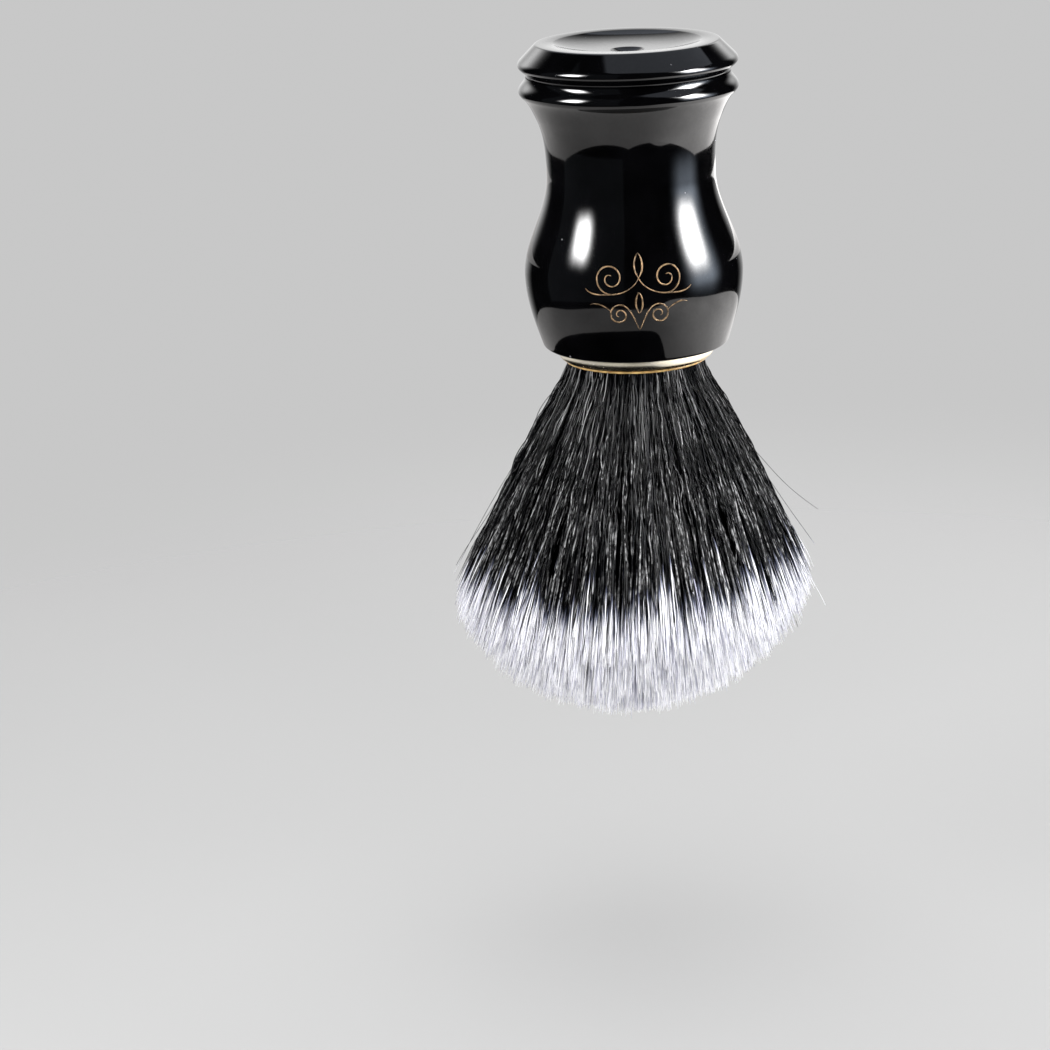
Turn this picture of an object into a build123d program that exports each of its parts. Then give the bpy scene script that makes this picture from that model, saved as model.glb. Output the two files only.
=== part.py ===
from build123d import *
import os

# A shaving brush, hanging as it does in a stand: bristles down, handle end up.
# Millimetres. +Z is the brush's axis, towards the handle's end, and the origin is on
# that axis in the plane of the handle's mouth, the flat rim that sits on a stand's fork.
# Every piece is turned, so each outline is drawn as (radius, height) and revolved.

# Handle body, from its mouth up to the seam in the groove
MOUTH_RADIUS, MOUTH_ROUNDING = 14.6, 0.5
BULB_RADIUS, BULB_HEIGHT = 17.0, 11.4
WAIST_RADIUS, WAIST_HEIGHT = 13.05, 26.5
NECK_RADIUS, NECK_HEIGHT = 14.3, 35.5
FLARE_RADIUS, FLARE_HEIGHT = 16.45, 39.1
SEAM_HEIGHT = 42.2

# The two beads round the handle's end, with a hairline seam in the groove between them
BEAD_RADIUS = 16.9
LOWER_BEAD_HEIGHT = 39.95
UPPER_BEAD_HEIGHT = 43.9
GROOVE_RADIUS = 15.75
SEAM_GAP = 0.12
SEAM_INNER_RADIUS = 15.0

# End cap: a 45 degree shoulder up to a flat ring, with a shallow dish inside it
HANDLE_LENGTH = 47.05
SHOULDER_RADIUS, SHOULDER_HEIGHT = 16.45, 44.7
LAND_INNER_RADIUS = 11.5
LAND_ROUNDING = 0.5
DISH_DEPTH = 1.35
DIMPLE_RADIUS, DIMPLE_DEPTH = 2.5, 0.7
SPIGOT_RADIUS = 11.7

# Bores in the handle body
SOCKET_RADIUS, SOCKET_DEPTH = 11.3, 13.5
WEIGHT_BORE_RADIUS, WEIGHT_BORE_FLOOR = 9.0, 17.5
COUNTERBORE_RADIUS, COUNTERBORE_FLOOR = 12.0, 38.6

# Balance weight and the pad that holds it still
WEIGHT_CLEARANCE = 0.1
WEIGHT_TOP = 36.6
WEIGHT_CHAMFER = 0.8

# Collar ring round the knot, under the mouth
COLLAR_RADIUS, COLLAR_LOW_RADIUS = 12.3, 11.5
COLLAR_DROP = 2.1
SLEEVE_RADIUS, SLEEVE_HEIGHT = 11.9, 2.5

# Knot: cup, resin, thread and the bead of adhesive that shows under the collar
CUP_RADIUS, CUP_WALL = 10.95, 0.5
CUP_TOP, CUP_ROOF = 12.0, 0.8
CUP_BORE_RADIUS = CUP_RADIUS - CUP_WALL
RESIN_FLOOR = 3.0
THREAD_FLOOR, THREAD_DIAMETER, THREAD_TURNS = 6.0, 0.5, 6
ADHESIVE_BEAD = 0.4

# Bristles: a straight-sided cone of filaments, rounded over into a dome
FAN_NECK = (13.9, -10.2)
FAN_COLOUR_EDGE = (25.8, -34.0)
FAN_WIDEST = (28.5, -39.3)
FAN_SHOULDER = (24.5, -48.6)
BRISTLE_TIP = -60.3
COLOUR_EDGE_ON_AXIS = -46.0

UP, DOWN, OUT, IN = (0, 1), (0, -1), (1, 0), (-1, 0)
BULB_RISE, NECK_RISE, FLARE_RISE = (0.35, 1), (0.45, 1), (1, 0.9)
FAN_SLOPE, DOME_SIDE = (0.42, -1), (0.1, -1)


def turned(*outline):
    """Solid of revolution about +Z from a closed outline of (radius, height) edges."""
    return revolve(Plane.XZ * make_face(list(outline)), axis=Axis.Z)


def plug(radius, floor, top):
    """Solid cylinder on the axis between two heights."""
    foot = (Align.CENTER, Align.CENTER, Align.MIN)
    return Pos(0, 0, floor) * Cylinder(radius, top - floor, align=foot)


def handle_body():
    """Black resin body: socket for the knot, bore for the weight, lower bead at its end."""
    mouth = (MOUTH_RADIUS - MOUTH_ROUNDING, 0)
    rim = Spline(mouth, (MOUTH_RADIUS, MOUTH_ROUNDING), tangents=(OUT, BULB_RISE))
    bulb = Spline(rim @ 1, (BULB_RADIUS, BULB_HEIGHT), tangents=(BULB_RISE, UP))
    waist = Spline(bulb @ 1, (WAIST_RADIUS, WAIST_HEIGHT), tangents=(UP, UP))
    neck = Spline(waist @ 1, (NECK_RADIUS, NECK_HEIGHT), tangents=(UP, NECK_RISE))
    flare = Spline(neck @ 1, (FLARE_RADIUS, FLARE_HEIGHT), tangents=(NECK_RISE, FLARE_RISE))
    bead_low = Spline(flare @ 1, (BEAD_RADIUS, LOWER_BEAD_HEIGHT), tangents=(FLARE_RISE, UP))
    groove = (GROOVE_RADIUS, SEAM_HEIGHT - SEAM_GAP / 2)
    bead_high = Spline(bead_low @ 1, groove, tangents=(UP, UP))
    inside = Polyline(
        groove,
        (SEAM_INNER_RADIUS, SEAM_HEIGHT - SEAM_GAP / 2),
        (SEAM_INNER_RADIUS, SEAM_HEIGHT),
        (COUNTERBORE_RADIUS, SEAM_HEIGHT),
        (COUNTERBORE_RADIUS, COUNTERBORE_FLOOR),
        (WEIGHT_BORE_RADIUS, COUNTERBORE_FLOOR),
        (WEIGHT_BORE_RADIUS, WEIGHT_BORE_FLOOR),
        (0, WEIGHT_BORE_FLOOR),
        (0, SOCKET_DEPTH),
        (SOCKET_RADIUS, SOCKET_DEPTH),
        (SOCKET_RADIUS, SLEEVE_HEIGHT),
        (SLEEVE_RADIUS, SLEEVE_HEIGHT),
        (SLEEVE_RADIUS, 0),
        mouth,
    )
    return turned(rim, bulb, waist, neck, flare, bead_low, bead_high, inside)


def end_cap():
    """Black resin cap: upper bead, 45 degree shoulder, flat ring, dish and spigot."""
    groove = (GROOVE_RADIUS, SEAM_HEIGHT + SEAM_GAP / 2)
    bead_low = Spline(groove, (BEAD_RADIUS, UPPER_BEAD_HEIGHT), tangents=(UP, UP))
    shoulder = (SHOULDER_RADIUS, SHOULDER_HEIGHT)
    bead_high = Spline(bead_low @ 1, shoulder, tangents=(UP, (-1, 1)))
    land_radius = SHOULDER_RADIUS - (HANDLE_LENGTH - SHOULDER_HEIGHT)
    top = FilletPolyline(
        shoulder,
        (land_radius, HANDLE_LENGTH),
        (LAND_INNER_RADIUS, HANDLE_LENGTH),
        radius=LAND_ROUNDING,
    )
    dish_floor = HANDLE_LENGTH - DISH_DEPTH
    dish = Spline(top @ 1, (DIMPLE_RADIUS, dish_floor), tangents=((-1, -0.42), (-1, -0.02)))
    dimple = Spline(dish @ 1, (0, dish_floor - DIMPLE_DEPTH), tangents=((-1, -0.7), IN))
    spigot = Polyline(
        dimple @ 1,
        (0, COUNTERBORE_FLOOR),
        (SPIGOT_RADIUS, COUNTERBORE_FLOOR),
        (SPIGOT_RADIUS, SEAM_HEIGHT),
        (SEAM_INNER_RADIUS, SEAM_HEIGHT),
        (SEAM_INNER_RADIUS, SEAM_HEIGHT + SEAM_GAP / 2),
        groove,
    )
    return turned(bead_low, bead_high, top, dish, dimple, spigot)


def cap_glue_ring():
    """Adhesive film between the cap's spigot and the counterbore."""
    film = plug(COUNTERBORE_RADIUS, COUNTERBORE_FLOOR, SEAM_HEIGHT)
    return film - plug(SPIGOT_RADIUS, COUNTERBORE_FLOOR, SEAM_HEIGHT)


def balance_weight():
    """Steel slug that gives the handle its heft."""
    slug = plug(WEIGHT_BORE_RADIUS - WEIGHT_CLEARANCE, WEIGHT_BORE_FLOOR, WEIGHT_TOP)
    return chamfer(slug.edges().filter_by(GeomType.CIRCLE), WEIGHT_CHAMFER)


def weight_pad():
    """Felt disc squeezed between the weight and the cap, so the weight can't rattle."""
    return plug(WEIGHT_BORE_RADIUS - WEIGHT_CLEARANCE, WEIGHT_TOP, COUNTERBORE_FLOOR)


def collar_ring():
    """Polished ring round the knot, with a sleeve that centres it in the socket."""
    low_edge = (COLLAR_LOW_RADIUS, -COLLAR_DROP)
    face = Spline((COLLAR_RADIUS, 0), low_edge, tangents=((0.03, -1), (-1, -0.25)))
    back = Polyline(
        low_edge,
        (SOCKET_RADIUS, -COLLAR_DROP),
        (SOCKET_RADIUS, SLEEVE_HEIGHT),
        (SLEEVE_RADIUS, SLEEVE_HEIGHT),
        (SLEEVE_RADIUS, 0),
        (COLLAR_RADIUS, 0),
    )
    return turned(face, back)


def knot_cup():
    """Moulded cup that holds the roots of the bristles, open downwards."""
    hollow = plug(CUP_BORE_RADIUS, -COLLAR_DROP, CUP_TOP - CUP_ROOF)
    return plug(CUP_RADIUS, -COLLAR_DROP, CUP_TOP) - hollow


def root_binding_thread():
    """Turns of thread wound side by side round the roots, as one scalloped band."""
    crest, valley = CUP_BORE_RADIUS - 0.05, CUP_BORE_RADIUS - 0.2
    core = crest - THREAD_DIAMETER
    heights = [THREAD_FLOOR + THREAD_DIAMETER * turn for turn in range(THREAD_TURNS + 1)]
    turns = [
        ThreePointArc((valley, low), (crest, (low + high) / 2), (valley, high))
        for low, high in zip(heights, heights[1:])
    ]
    back = Polyline((valley, heights[-1]), (core, heights[-1]), (core, heights[0]), (valley, heights[0]))
    return turned(*turns, back)


def knot_resin_plug():
    """Cast resin that locks the roots into the cup, round the binding thread."""
    return plug(CUP_BORE_RADIUS, RESIN_FLOOR, CUP_TOP - CUP_ROOF) - root_binding_thread()


def socket_adhesive():
    """Amber adhesive round the knot cup, squeezed out as a bead under the collar."""
    inner, outer = (CUP_RADIUS, -COLLAR_DROP), (SOCKET_RADIUS, -COLLAR_DROP)
    crest = ((CUP_RADIUS + SOCKET_RADIUS) / 2, -COLLAR_DROP - ADHESIVE_BEAD)
    bead = ThreePointArc(outer, crest, inner)
    film = Polyline(
        inner,
        (CUP_RADIUS, CUP_TOP),
        (0, CUP_TOP),
        (0, SOCKET_DEPTH),
        (SOCKET_RADIUS, SOCKET_DEPTH),
        outer,
    )
    return turned(bead, film)


def colour_edge():
    """Where the dyed shafts end and the white tips begin, domed like the tips."""
    return Spline(FAN_COLOUR_EDGE, (0, COLOUR_EDGE_ON_AXIS), tangents=((-1, -0.9), IN))


def bristle_shafts():
    """Outer form of the black lengths of all the bristles, from the resin down."""
    root = (CUP_BORE_RADIUS, -COLLAR_DROP)
    flank = Spline(root, FAN_NECK, FAN_COLOUR_EDGE, tangents=((0.15, -1), FAN_SLOPE))
    inside = Polyline((0, COLOUR_EDGE_ON_AXIS), (0, RESIN_FLOOR), (CUP_BORE_RADIUS, RESIN_FLOOR), root)
    return turned(flank, colour_edge(), inside)


def bristle_tips():
    """Outer form of the white ends of all the bristles, trimmed to a dome."""
    flank = Spline(FAN_COLOUR_EDGE, FAN_WIDEST, tangents=(FAN_SLOPE, DOME_SIDE))
    dome = Spline(FAN_WIDEST, FAN_SHOULDER, (0, BRISTLE_TIP), tangents=(DOME_SIDE, IN))
    axis = Line(dome @ 1, (0, COLOUR_EDGE_ON_AXIS))
    return turned(flank, dome, axis, colour_edge())


NODES = (
    handle_body,
    end_cap,
    cap_glue_ring,
    balance_weight,
    weight_pad,
    collar_ring,
    knot_cup,
    root_binding_thread,
    knot_resin_plug,
    socket_adhesive,
    bristle_shafts,
    bristle_tips,
)

os.makedirs("parts", exist_ok=True)
for node in NODES:
    solid = node()
    export_step(solid, f"parts/{node.__name__}.step")
    print(f"{node.__name__:22s} {solid.volume:9.1f} mm3")
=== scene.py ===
"""Looks of the shaving brush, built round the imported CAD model.

Lengths are millimetres, as in the CAD, unless a comment says otherwise, and MM turns them
into metres. +Z is the brush's axis, the handle is up, and the origin is in the plane of the
handle's mouth. The front, with the printed ornament, faces -Y. An azimuth is in degrees to
the right of the front.
"""

import math

import bpy
import numpy as np
from mathutils import Matrix, Vector


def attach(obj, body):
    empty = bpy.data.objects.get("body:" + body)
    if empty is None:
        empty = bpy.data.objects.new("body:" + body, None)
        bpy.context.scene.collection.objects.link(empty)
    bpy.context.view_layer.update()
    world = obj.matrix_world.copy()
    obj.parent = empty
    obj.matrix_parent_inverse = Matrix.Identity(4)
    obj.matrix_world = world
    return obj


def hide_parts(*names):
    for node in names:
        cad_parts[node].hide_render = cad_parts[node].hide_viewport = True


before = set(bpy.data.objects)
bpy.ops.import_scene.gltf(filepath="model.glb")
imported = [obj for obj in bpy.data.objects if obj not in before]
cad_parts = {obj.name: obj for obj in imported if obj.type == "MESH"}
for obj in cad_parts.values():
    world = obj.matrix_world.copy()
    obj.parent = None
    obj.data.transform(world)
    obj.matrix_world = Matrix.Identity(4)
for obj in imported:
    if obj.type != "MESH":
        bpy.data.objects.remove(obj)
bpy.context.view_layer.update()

MM = 0.001
BODY = "root"
FRONT = -math.pi / 2

# Camera: where it stands from the origin, along its own axes, and how it is turned
CAMERA_LENS, SENSOR_WIDTH = 103.9, 36.0
CAMERA_DISTANCE = 475.3
CAMERA_LEFT, CAMERA_BELOW = 17.4, 28.9
CAMERA_PITCH, CAMERA_ROLL = math.radians(17.16), math.radians(-2.4)

# Floor under the hanging brush: it fades out between two distances from the origin, in metres
FLOOR_HEIGHT, FLOOR_RADIUS = -105.0, 900.0
FLOOR_FADE = (0.15, 0.40)

# Brightness of the surroundings as the camera sees them, and as diffuse light. In gloss it is
# the product of two steps, along +Y and along +Z: where each starts and ends, and from what
# value to what
BACKDROP_BRIGHTNESS, FILL_BRIGHTNESS = 0.72, 0.95
GLOSS_BEHIND = (0.72, 0.98, 0.003, 1.65)
GLOSS_BELOW = (-0.22, 0.02, 0.5, 1.0)

# Lights stand this far from the origin, in metres
LIGHT_DISTANCE = 0.5

# Handle: the CAD's own driving points, turned again here in finer steps
UP, IN, OUT = (0, 1), (-1, 0), (1, 0)
MOUTH_INNER, MOUTH_OUTER, MOUTH_RISE = (14.1, 0.0), (14.6, 0.5), (0.35, 1)
BULB, WAIST = (17.0, 11.4), (13.05, 26.5)
NECK, NECK_RISE = (14.3, 35.5), (0.45, 1)
FLARE, FLARE_RISE = (16.45, 39.1), (1, 0.9)
LOWER_BEAD, UPPER_BEAD = (16.9, 39.95), (16.9, 43.9)
SEAM_HEIGHT, SEAM_GAP, SEAM_INNER, GROOVE = 42.2, 0.12, 15.0, 15.75
SHOULDER, LAND_OUTER, LAND_INNER, HANDLE_LENGTH = (16.45, 44.7), 14.1, 11.5, 47.05
LAND_ROUNDING = 0.25
DISH_DEPTH, DIMPLE_RADIUS, DIMPLE_DEPTH = 1.35, 2.5, 0.7
SPIGOT, COUNTERBORE, COUNTERBORE_FLOOR = 11.7, 12.0, 38.6
WEIGHT_BORE, WEIGHT_FLOOR = 9.0, 17.5
SOCKET, SOCKET_DEPTH, SLEEVE, SLEEVE_HEIGHT = 11.3, 13.5, 11.9, 2.5

# Turned pieces: steps round the axis, the least angle that stays a sharp edge, and the
# distance that counts as none
TURNS = 192
SHARP_ANGLE = math.radians(35)
TINY = 1e-6

# Outline of the knot: the flank of the fan, and the dome of the tips. The filaments start at
# ROOT_TOP, and the knot leans to -X by FAN_LEAN at its end
ROOT, ROOT_SLOPE = (10.45, -2.1), (0.15, -1)
FAN_NECK, NECK_SLOPE = (13.9, -10.2), (0.55, -1)
FAN_WIDEST, WIDEST_SLOPE = (28.5, -39.3), (0.39, -1)
DOME_SIDE, DOME_SHOULDER, DOME_SLOPE = (0.1, -1), (24.5, -48.6), (-0.75, -1)
DOME_TIP = (0.0, -60.3)
ROOT_TOP = 0.8
FAN_LEAN = 1.6

# The tips are trimmed a little short of that dome, and rise towards +X, like the dye's edge
TRIM_LIFT, TRIM_TILT = 0.4, 0.045
COLOUR_EDGE_FLANK, COLOUR_EDGE_AXIS = -34.0, -46.0

# UV of a filament: U is its shade column, of which the first ones have painted glints. V is V_EDGE
# where its dye ends, and the whole of V is V_SPAN long
SHADE_COLUMNS, BRIGHT_COLUMNS, COLUMN_INSET = 64, 48, 0.15
V_SPAN, V_EDGE = 90.0, 0.75

# Colour along a filament: where past the end of the dye it turns slate blue and then white,
# the length of a painted crimp glint and of a stretch of painted glints, and how far apart
# columns are in the noise
SLATE_ZONE, PALE_ZONE = (0.2, 1.6), (1.2, 3.4)
CRIMP_LENGTH, GLINT_LENGTH, COLUMN_GAP = 0.9, 7.5, 7.31

# Filaments: those beyond OUTER_SHARE of the knot's radius show along their length, and the
# others only at their tips. Each has so many rings of points, and a batch of them is one piece
FILAMENT_COUNT = 15000
OUTER_SHARE = 0.88
OUTER = {"rings": 60, "kink": 0.075, "radius": 0.12, "batch": 540,
         "columns": (0, BRIGHT_COLUMNS)}
INNER = {"rings": 12, "kink": 0.05, "radius": 0.125, "batch": 2600,
         "columns": (BRIGHT_COLUMNS, SHADE_COLUMNS)}
THICKNESS_SPREAD = (0.75, 1.2)
SHARE_JITTER, ANGLE_JITTER = 0.35, 0.004

# They gather into locks along their length and into tufts at their tips. The locks open from
# a share of the length on, and a tuft holds each of its filaments by a share of its pull
LOCKS, TUFTS = 460, 1100
LOCK_PULL, TUFT_PULL = 0.62, 0.8
LOCK_OPENS, LOCK_OPENING = 0.6, 0.5
TUFT_HOLD = (0.35, 1.0)

# Uneven trim: spread of each filament and of each tuft, how much shorter a filament is for
# its distance from its tuft's middle, and the limits
RAGGED, TUFT_RAGGED, SPLAYED_SHORTER = 0.3, 0.22, 0.55
RAGGED_LIMITS = (-1.0, 1.8)

# Sideways bends: spread of each lock's sway, of a filament's own sway and of its waves, the
# depths below the root at which sways and kinks are free, and how much of the waves and kinks
# is gone in the straighter tips
LOCK_SWAY, OWN_SWAY, WAVE = 0.25, 0.38, 0.14
SWAY_DEPTH, KINK_DEPTH = 9.0, 4.0
STRAIGHTER_TIPS = 0.65

# End of the dye: spread by lock, by filament and by tuft. Some filaments are dyed further
# down, and some less far, by a mean length with a limit
DYE_BY_LOCK, DYE_BY_FILAMENT, DYE_BY_TUFT = 0.9, 1.0, 0.6
DYED_FURTHER, FURTHER_LENGTH = 0.16, 4.0
DYED_LESS, LESS_LENGTH, LESS_LIMIT = 0.20, 3.0, 6.0

# Taper: a filament widens from its tip, where a share of it is left, over TAPER_LENGTH, and
# its dyed length is slimmer again
TIP_SHARE, TAPER_LENGTH = 0.22, 9.0
SLIM_START, SLIM_LENGTH, SLIMMER = 14.0, 8.0, 0.22

# Stray hairs: azimuth, height where each leaves the flank, how far it strays and the height
# where it ends
STRAY_TOP, STRAY_RADIUS = -3, 0.075
STRAY_HAIRS = (
    (84, -14, 6.2, -27), (-83, -8, 2.4, -35), (-97, -12, 2.0, -38), (-76, -20, 1.6, -40),
    (99, -18, 2.6, -36), (71, -24, 2.2, -41), (35, -16, 2.5, -33), (-40, -22, 2.2, -39),
    (150, -12, 4.0, -30), (-140, -15, 3.2, -34), (178, -20, 2.6, -38), (-165, -10, 2.0, -37),
)

# Squeezed-out adhesive: radius and height of its bead, its half height and its unevenness
GLUE_RADIUS, GLUE_HEIGHT, GLUE_SIZE, GLUE_UNEVEN = 11.0, -2.12, 0.26, 0.10
GLUE_SIZE_LIMITS = (0.12, 0.5)

# Printed flourish: height of its centre, width and half thickness of its strokes
PRINT_HEIGHT, PRINT_WIDTH, PRINT_THICKNESS = 11.2, 0.17, 0.03


# ---------------------------------------------------------------- shapes

def hermite(start, end, start_way, end_way, steps=24):
    """Points of the cubic from start to end that leaves and arrives along the given ways."""
    p0, p1 = np.array(start, float), np.array(end, float)
    chord = np.linalg.norm(p1 - p0)
    t0 = np.array(start_way, float) / np.linalg.norm(start_way) * chord
    t1 = np.array(end_way, float) / np.linalg.norm(end_way) * chord
    s = np.linspace(0, 1, steps + 1)[:, None]
    return (
        (2 * s**3 - 3 * s**2 + 1) * p0
        + (s**3 - 2 * s**2 + s) * t0
        + (3 * s**2 - 2 * s**3) * p1
        + (s**3 - s**2) * t1
    )


def circle(radius, height, turns):
    """Points of a level circle round the axis."""
    turn = [2 * math.pi * i / turns for i in range(turns)]
    return [(radius * math.cos(a), radius * math.sin(a), height) for a in turn]


def net(rows, columns, first=0, loop=False):
    """Faces between rows of points; a row closes on itself, and a loop's last row on its first."""
    faces = []
    for i in range(rows if loop else rows - 1):
        row, next_row = first + i * columns, first + (i + 1) % rows * columns
        for j in range(columns):
            k = (j + 1) % columns
            faces.append((row + j, next_row + j, next_row + k, row + k))
    return faces


def turned(name, *runs):
    """Closed solid of revolution from runs of (radius, height) points."""
    outline = np.vstack([np.asarray(run, float) for run in runs])
    step = np.abs(np.diff(outline, axis=0)).max(1)
    outline = outline[np.concatenate([[True], step > TINY])]
    on_axis = outline[:, 0] < TINY
    verts, first = [], []
    for (radius, height), single in zip(outline, on_axis):
        first.append(len(verts))
        verts += [(0, 0, height)] if single else circle(radius, height, TURNS)
    faces = []
    for i, start in enumerate(first):
        j = (i + 1) % len(first)
        end = first[j]
        if on_axis[i] and on_axis[j]:
            continue
        for k in range(TURNS):
            n = (k + 1) % TURNS
            corners = [start if on_axis[i] else start + k, start if on_axis[i] else start + n,
                       end if on_axis[j] else end + n, end if on_axis[j] else end + k]
            faces.append(list(dict.fromkeys(corners)))
    piece = new_mesh(name, verts, faces)
    piece.data.set_sharp_from_angle(angle=SHARP_ANGLE)
    return piece


def new_mesh(name, verts, faces, smooth=True):
    """Mesh object from points in millimetres."""
    mesh = bpy.data.meshes.new(name)
    mesh.from_pydata((np.asarray(verts) * MM).tolist(), [], [list(map(int, f)) for f in faces])
    mesh.polygons.foreach_set("use_smooth", [smooth] * len(mesh.polygons))
    mesh.update()
    piece = bpy.data.objects.new(name, mesh)
    bpy.context.scene.collection.objects.link(piece)
    return piece


# ---------------------------------------------------------------- materials

def material(name):
    """A node material, its Principled shader and a function that adds nodes to it."""
    mat = bpy.data.materials.new(name)
    mat.use_nodes = True
    tree = mat.node_tree
    shader = tree.nodes["Principled BSDF"]

    def add(kind, inputs=(), **settings):
        node = tree.nodes.new("ShaderNode" + kind)
        for key, value in settings.items():
            setattr(node, key, value)
        for key, value in dict(inputs).items():
            if isinstance(value, bpy.types.NodeSocket):
                tree.links.new(value, node.inputs[key])
            else:
                node.inputs[key].default_value = value
        return node

    def link(socket, name):
        tree.links.new(socket, shader.inputs[name])

    return mat, shader, add, link


def ramp(add, value, *stops):
    """Colour ramp over (position, colour) stops; a colour may be one grey number."""
    node = add("ValToRGB", {"Fac": value})
    points = node.color_ramp.elements
    while len(points) < len(stops):
        points.new(0.5)
    for point, (position, colour) in zip(points, stops):
        grey = isinstance(colour, (int, float))
        point.position = position
        point.color = (colour, colour, colour, 1) if grey else (*colour, 1)
    return node.outputs["Color"]


def resin_material():
    """Black polished resin: deep gloss, faint polishing swirls and a few dust specks."""
    mat, shader, add, link = material("black_polished_resin")
    place = add("TexCoord").outputs["Object"]
    cloud = add("TexNoise", {"Vector": place, "Scale": 140.0, "Detail": 3.0}).outputs["Fac"]
    swirl = add("TexNoise", {"Vector": place, "Scale": 900.0, "Detail": 5.0, "Distortion": 2.5})
    dust = add("TexVoronoi", {"Vector": place, "Scale": 520.0}, feature="F1")
    speck = ramp(add, dust.outputs["Distance"], (0.0, 1.0), (0.075, 1.0), (0.095, 0.0))
    rare = add("TexNoise", {"Vector": place, "Scale": 260.0, "Detail": 1.0}).outputs["Fac"]
    chosen = ramp(add, rare, (0.62, 0.0), (0.66, 1.0))
    dusty = add("Math", {0: speck, 1: chosen}, operation="MULTIPLY").outputs[0]
    body = ramp(add, cloud, (0.35, (0.0004, 0.0004, 0.0005)), (0.7, (0.0011, 0.0011, 0.0014)))
    colour = add("MixRGB", {"Fac": dusty, "Color1": body, "Color2": (0.16, 0.16, 0.17, 1)})
    link(colour.outputs["Color"], "Base Color")
    rough = add("MapRange", {"Value": swirl.outputs["Fac"], "To Min": 0.03, "To Max": 0.075})
    rougher = add("Math", {0: dusty, 1: 0.35, 2: rough.outputs[0]}, operation="MULTIPLY_ADD")
    link(rougher.outputs[0], "Roughness")
    haze = add("MapRange", {"Value": swirl.outputs["Fac"], "From Min": 0.4, "From Max": 0.7,
                            "To Min": 0.0, "To Max": 0.12})
    link(haze.outputs[0], "Coat Weight")
    shader.inputs["Coat Roughness"].default_value = 0.16
    wave = add("TexNoise", {"Vector": place, "Scale": 75.0, "Detail": 1.5}).outputs["Fac"]
    bump = add("Bump", {"Height": wave, "Strength": 0.12, "Distance": 0.0004})
    fine = add("Bump", {"Height": swirl.outputs["Fac"], "Strength": 0.02, "Distance": 0.00005,
                        "Normal": bump.outputs["Normal"]})
    link(fine.outputs["Normal"], "Normal")
    shader.inputs["IOR"].default_value = 1.52
    return mat


def gold_material():
    """Pale gold ring: polished, with fine turning lines and a dark brown band at its top edge,
    under the mouth.
    """
    mat, shader, add, link = material("pale_gold_ring")
    place = add("TexCoord").outputs["Object"]
    height = add("SeparateXYZ", {0: place}).outputs["Z"]
    lines = add("TexNoise", {"Scale": 9000.0, "Detail": 2.0}, noise_dimensions="1D")
    mat.node_tree.links.new(height, lines.inputs["W"])
    blotch = add("TexNoise", {"Vector": place, "Scale": 160.0, "Detail": 3.0}).outputs["Fac"]
    metal = ramp(add, blotch, (0.3, (0.93, 0.86, 0.68)), (0.7, (0.98, 0.93, 0.80)))
    # A thin dark brown band along the ring's top edge, just under the handle's mouth
    shade = add("MapRange", {"Value": height, "From Min": -0.32 * MM, "From Max": -0.12 * MM})
    low = add("MapRange", {"Value": height, "From Min": -1.3 * MM, "From Max": -2.0 * MM})
    dark_topped = add("MixRGB", {"Fac": shade.outputs[0], "Color1": metal,
                             "Color2": (0.16, 0.09, 0.035, 1)})
    golden = add("MixRGB", {"Fac": low.outputs[0], "Color1": dark_topped.outputs[0],
                            "Color2": (0.80, 0.58, 0.24, 1)})
    link(golden.outputs[0], "Base Color")
    rough = add("MapRange", {"Value": blotch, "To Min": 0.14, "To Max": 0.30})
    link(rough.outputs[0], "Roughness")
    bump = add("Bump", {"Height": lines.outputs["Fac"], "Strength": 0.10, "Distance": 0.00002})
    link(bump.outputs["Normal"], "Normal")
    shader.inputs["Metallic"].default_value = 1.0
    return mat


def glue_material():
    """Amber adhesive: honey coloured, glossy, lumpy."""
    mat, shader, add, link = material("amber_adhesive")
    place = add("TexCoord").outputs["Object"]
    cloud = add("TexNoise", {"Vector": place, "Scale": 700.0, "Detail": 4.0}).outputs["Fac"]
    link(ramp(add, cloud, (0.3, (0.16, 0.09, 0.03)), (0.7, (0.56, 0.39, 0.16))), "Base Color")
    bump = add("Bump", {"Height": cloud, "Strength": 0.5, "Distance": 0.0002})
    link(bump.outputs["Normal"], "Normal")
    shader.inputs["Roughness"].default_value = 0.12
    shader.inputs["Subsurface Weight"].default_value = 0.2
    shader.inputs["Subsurface Scale"].default_value = 0.4 * MM
    return mat


def plain_material(name, low, high, scale, roughness, bump=0.2, metallic=0.0, stretch=(1, 1, 1)):
    """A noisy material for a piece inside the handle: two tones, grain and bump."""
    mat, shader, add, link = material(name)
    place = add("TexCoord").outputs["Object"]
    grain = add("Mapping", {"Vector": place, "Scale": stretch}).outputs[0]
    noise = add("TexNoise", {"Vector": grain, "Scale": scale, "Detail": 5.0}).outputs["Fac"]
    link(ramp(add, noise, (0.3, low), (0.7, high)), "Base Color")
    rough = add("MapRange", {"Value": noise, "To Min": roughness - 0.08,
                             "To Max": roughness + 0.08})
    link(rough.outputs[0], "Roughness")
    height = add("Bump", {"Height": noise, "Strength": bump, "Distance": 0.0001})
    link(height.outputs["Normal"], "Normal")
    shader.inputs["Metallic"].default_value = metallic
    return mat


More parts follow.
